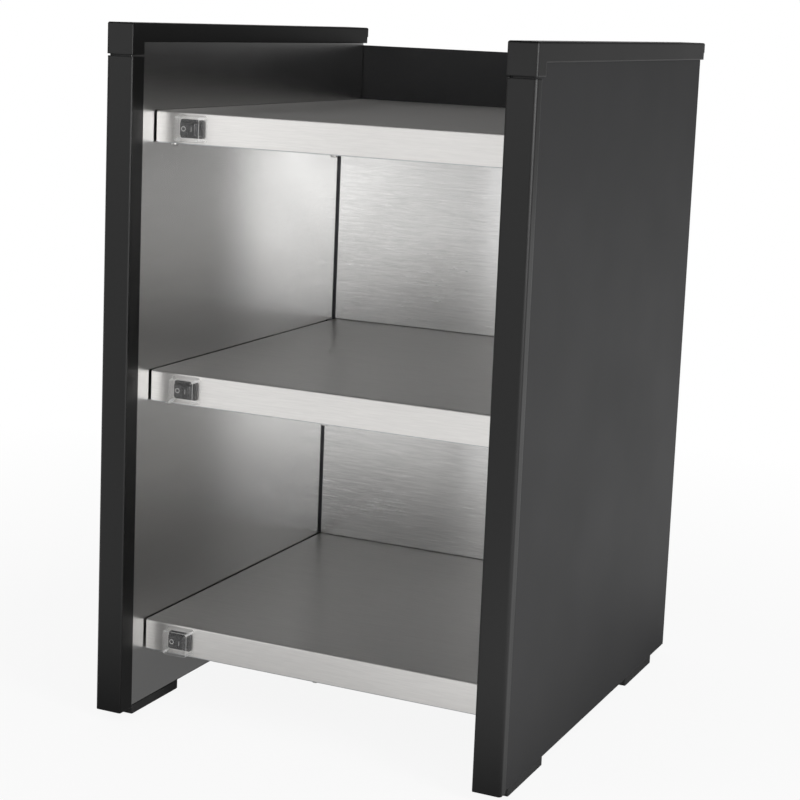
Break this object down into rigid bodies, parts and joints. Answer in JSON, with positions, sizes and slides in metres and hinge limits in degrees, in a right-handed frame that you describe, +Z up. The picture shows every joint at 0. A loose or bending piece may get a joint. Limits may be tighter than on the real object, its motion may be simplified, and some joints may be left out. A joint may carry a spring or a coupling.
{
  "type": "cup warmer",
  "caption": "Counter-top cup warmer: heated stainless shelves between two black side panels, each shelf with a hooded rocker switch.",
  "frame": {"origin": "on the surface the feet stand on, at the middle of the footprint", "axes": "+Z up, +X to the right seen from the front, +Y towards the rear, so the front faces -Y"},
  "size_m": [0.364, 0.4236, 0.575],
  "materials": {
    "black_paint": "satin black powder coat",
    "brushed_steel": "brushed stainless steel",
    "zinc_steel": "plain zinc coated sheet",
    "screw_steel": "zinc coated screw",
    "heater_rubber": "silicone heating mat",
    "insulation": "felted mineral fibre",
    "thermostat_metal": "pressed cup",
    "switch_plastic": "black nylon",
    "rocker_plastic": "smooth black",
    "clear_silicone": "clear silicone",
    "tab_brass": "plain",
    "black_rubber": "matte black rubber",
    "black_plastic": "matte black nylon",
    "lead_sleeve": "glass fibre sleeve",
    "cream_plastic": "moulded"
  },
  "bodies": {
    "cabinet": {"back_bracket_left": "zinc_steel", "back_bracket_right": "zinc_steel", "back_wall_lower": "brushed_steel", "back_wall_upper": "brushed_steel", "cable_entry": "black_plastic", "cable_entry_collar": "black_plastic", "foot_left_front": "black_rubber", "foot_left_rear": "black_rubber", "foot_right_front": "black_rubber", "foot_right_rear": "black_rubber", "foot_screws": "screw_steel", "front_post_left": "black_paint", "front_post_right": "black_paint", "heater_mat_bottom": "heater_rubber", "heater_mat_middle": "heater_rubber", "heater_mat_top": "heater_rubber", "inner_sheet_left": "black_paint", "inner_sheet_right": "black_paint", "insulation_pad_bottom": "insulation", "insulation_pad_middle": "insulation", "insulation_pad_top": "insulation", "lead_bottom": "lead_sleeve", "lead_grommets": "black_rubber", "lead_middle": "lead_sleeve", "lead_top": "lead_sleeve", "liner_left": "brushed_steel", "liner_right": "brushed_steel", "panel_stiffener_left": "zinc_steel", "panel_stiffener_right": "zinc_steel", "rear_cover": "black_paint", "rear_cover_screws": "screw_steel", "shelf_floor_bottom": "zinc_steel", "shelf_floor_middle": "zinc_steel", "shelf_floor_screws": "screw_steel", "shelf_floor_top": "zinc_steel", "shelf_nuts": "screw_steel", "shelf_screws": "screw_steel", "shelf_spacers": "black_plastic", "shelf_tray_bottom": "brushed_steel", "shelf_tray_middle": "brushed_steel", "shelf_tray_top": "brushed_steel", "side_sheet_left": "black_paint", "side_sheet_right": "black_paint", "splash_hood_bottom": "clear_silicone", "splash_hood_middle": "clear_silicone", "splash_hood_top": "clear_silicone", "switch_body_bottom": "switch_plastic", "switch_body_middle": "switch_plastic", "switch_body_top": "switch_plastic", "switch_tabs": "tab_brass", "terminal_block": "cream_plastic", "thermostat_bottom": "thermostat_metal", "thermostat_middle": "thermostat_metal", "thermostat_top": "thermostat_metal", "top_cap_left": "black_paint", "top_cap_right": "black_paint"},
    "rocker_top": {"rocker_top": "rocker_plastic"},
    "rocker_middle": {"rocker_middle": "rocker_plastic"},
    "rocker_bottom": {"rocker_bottom": "rocker_plastic"}
  },
  "joints": [
    {"name": "rocker_top_hinge", "type": "hinge", "parent": "cabinet", "child": "rocker_top", "pos_m": [-0.1245, -0.17125, 0.4925], "axis": [0, 0, 1], "range_deg": [0, 16]},
    {"name": "rocker_middle_hinge", "type": "hinge", "parent": "cabinet", "child": "rocker_middle", "pos_m": [-0.1245, -0.17125, 0.2792], "axis": [0, 0, 1], "range_deg": [0, 16]},
    {"name": "rocker_bottom_hinge", "type": "hinge", "parent": "cabinet", "child": "rocker_bottom", "pos_m": [-0.1245, -0.17125, 0.0659], "axis": [0, 0, 1], "range_deg": [0, 16]}
  ]
}
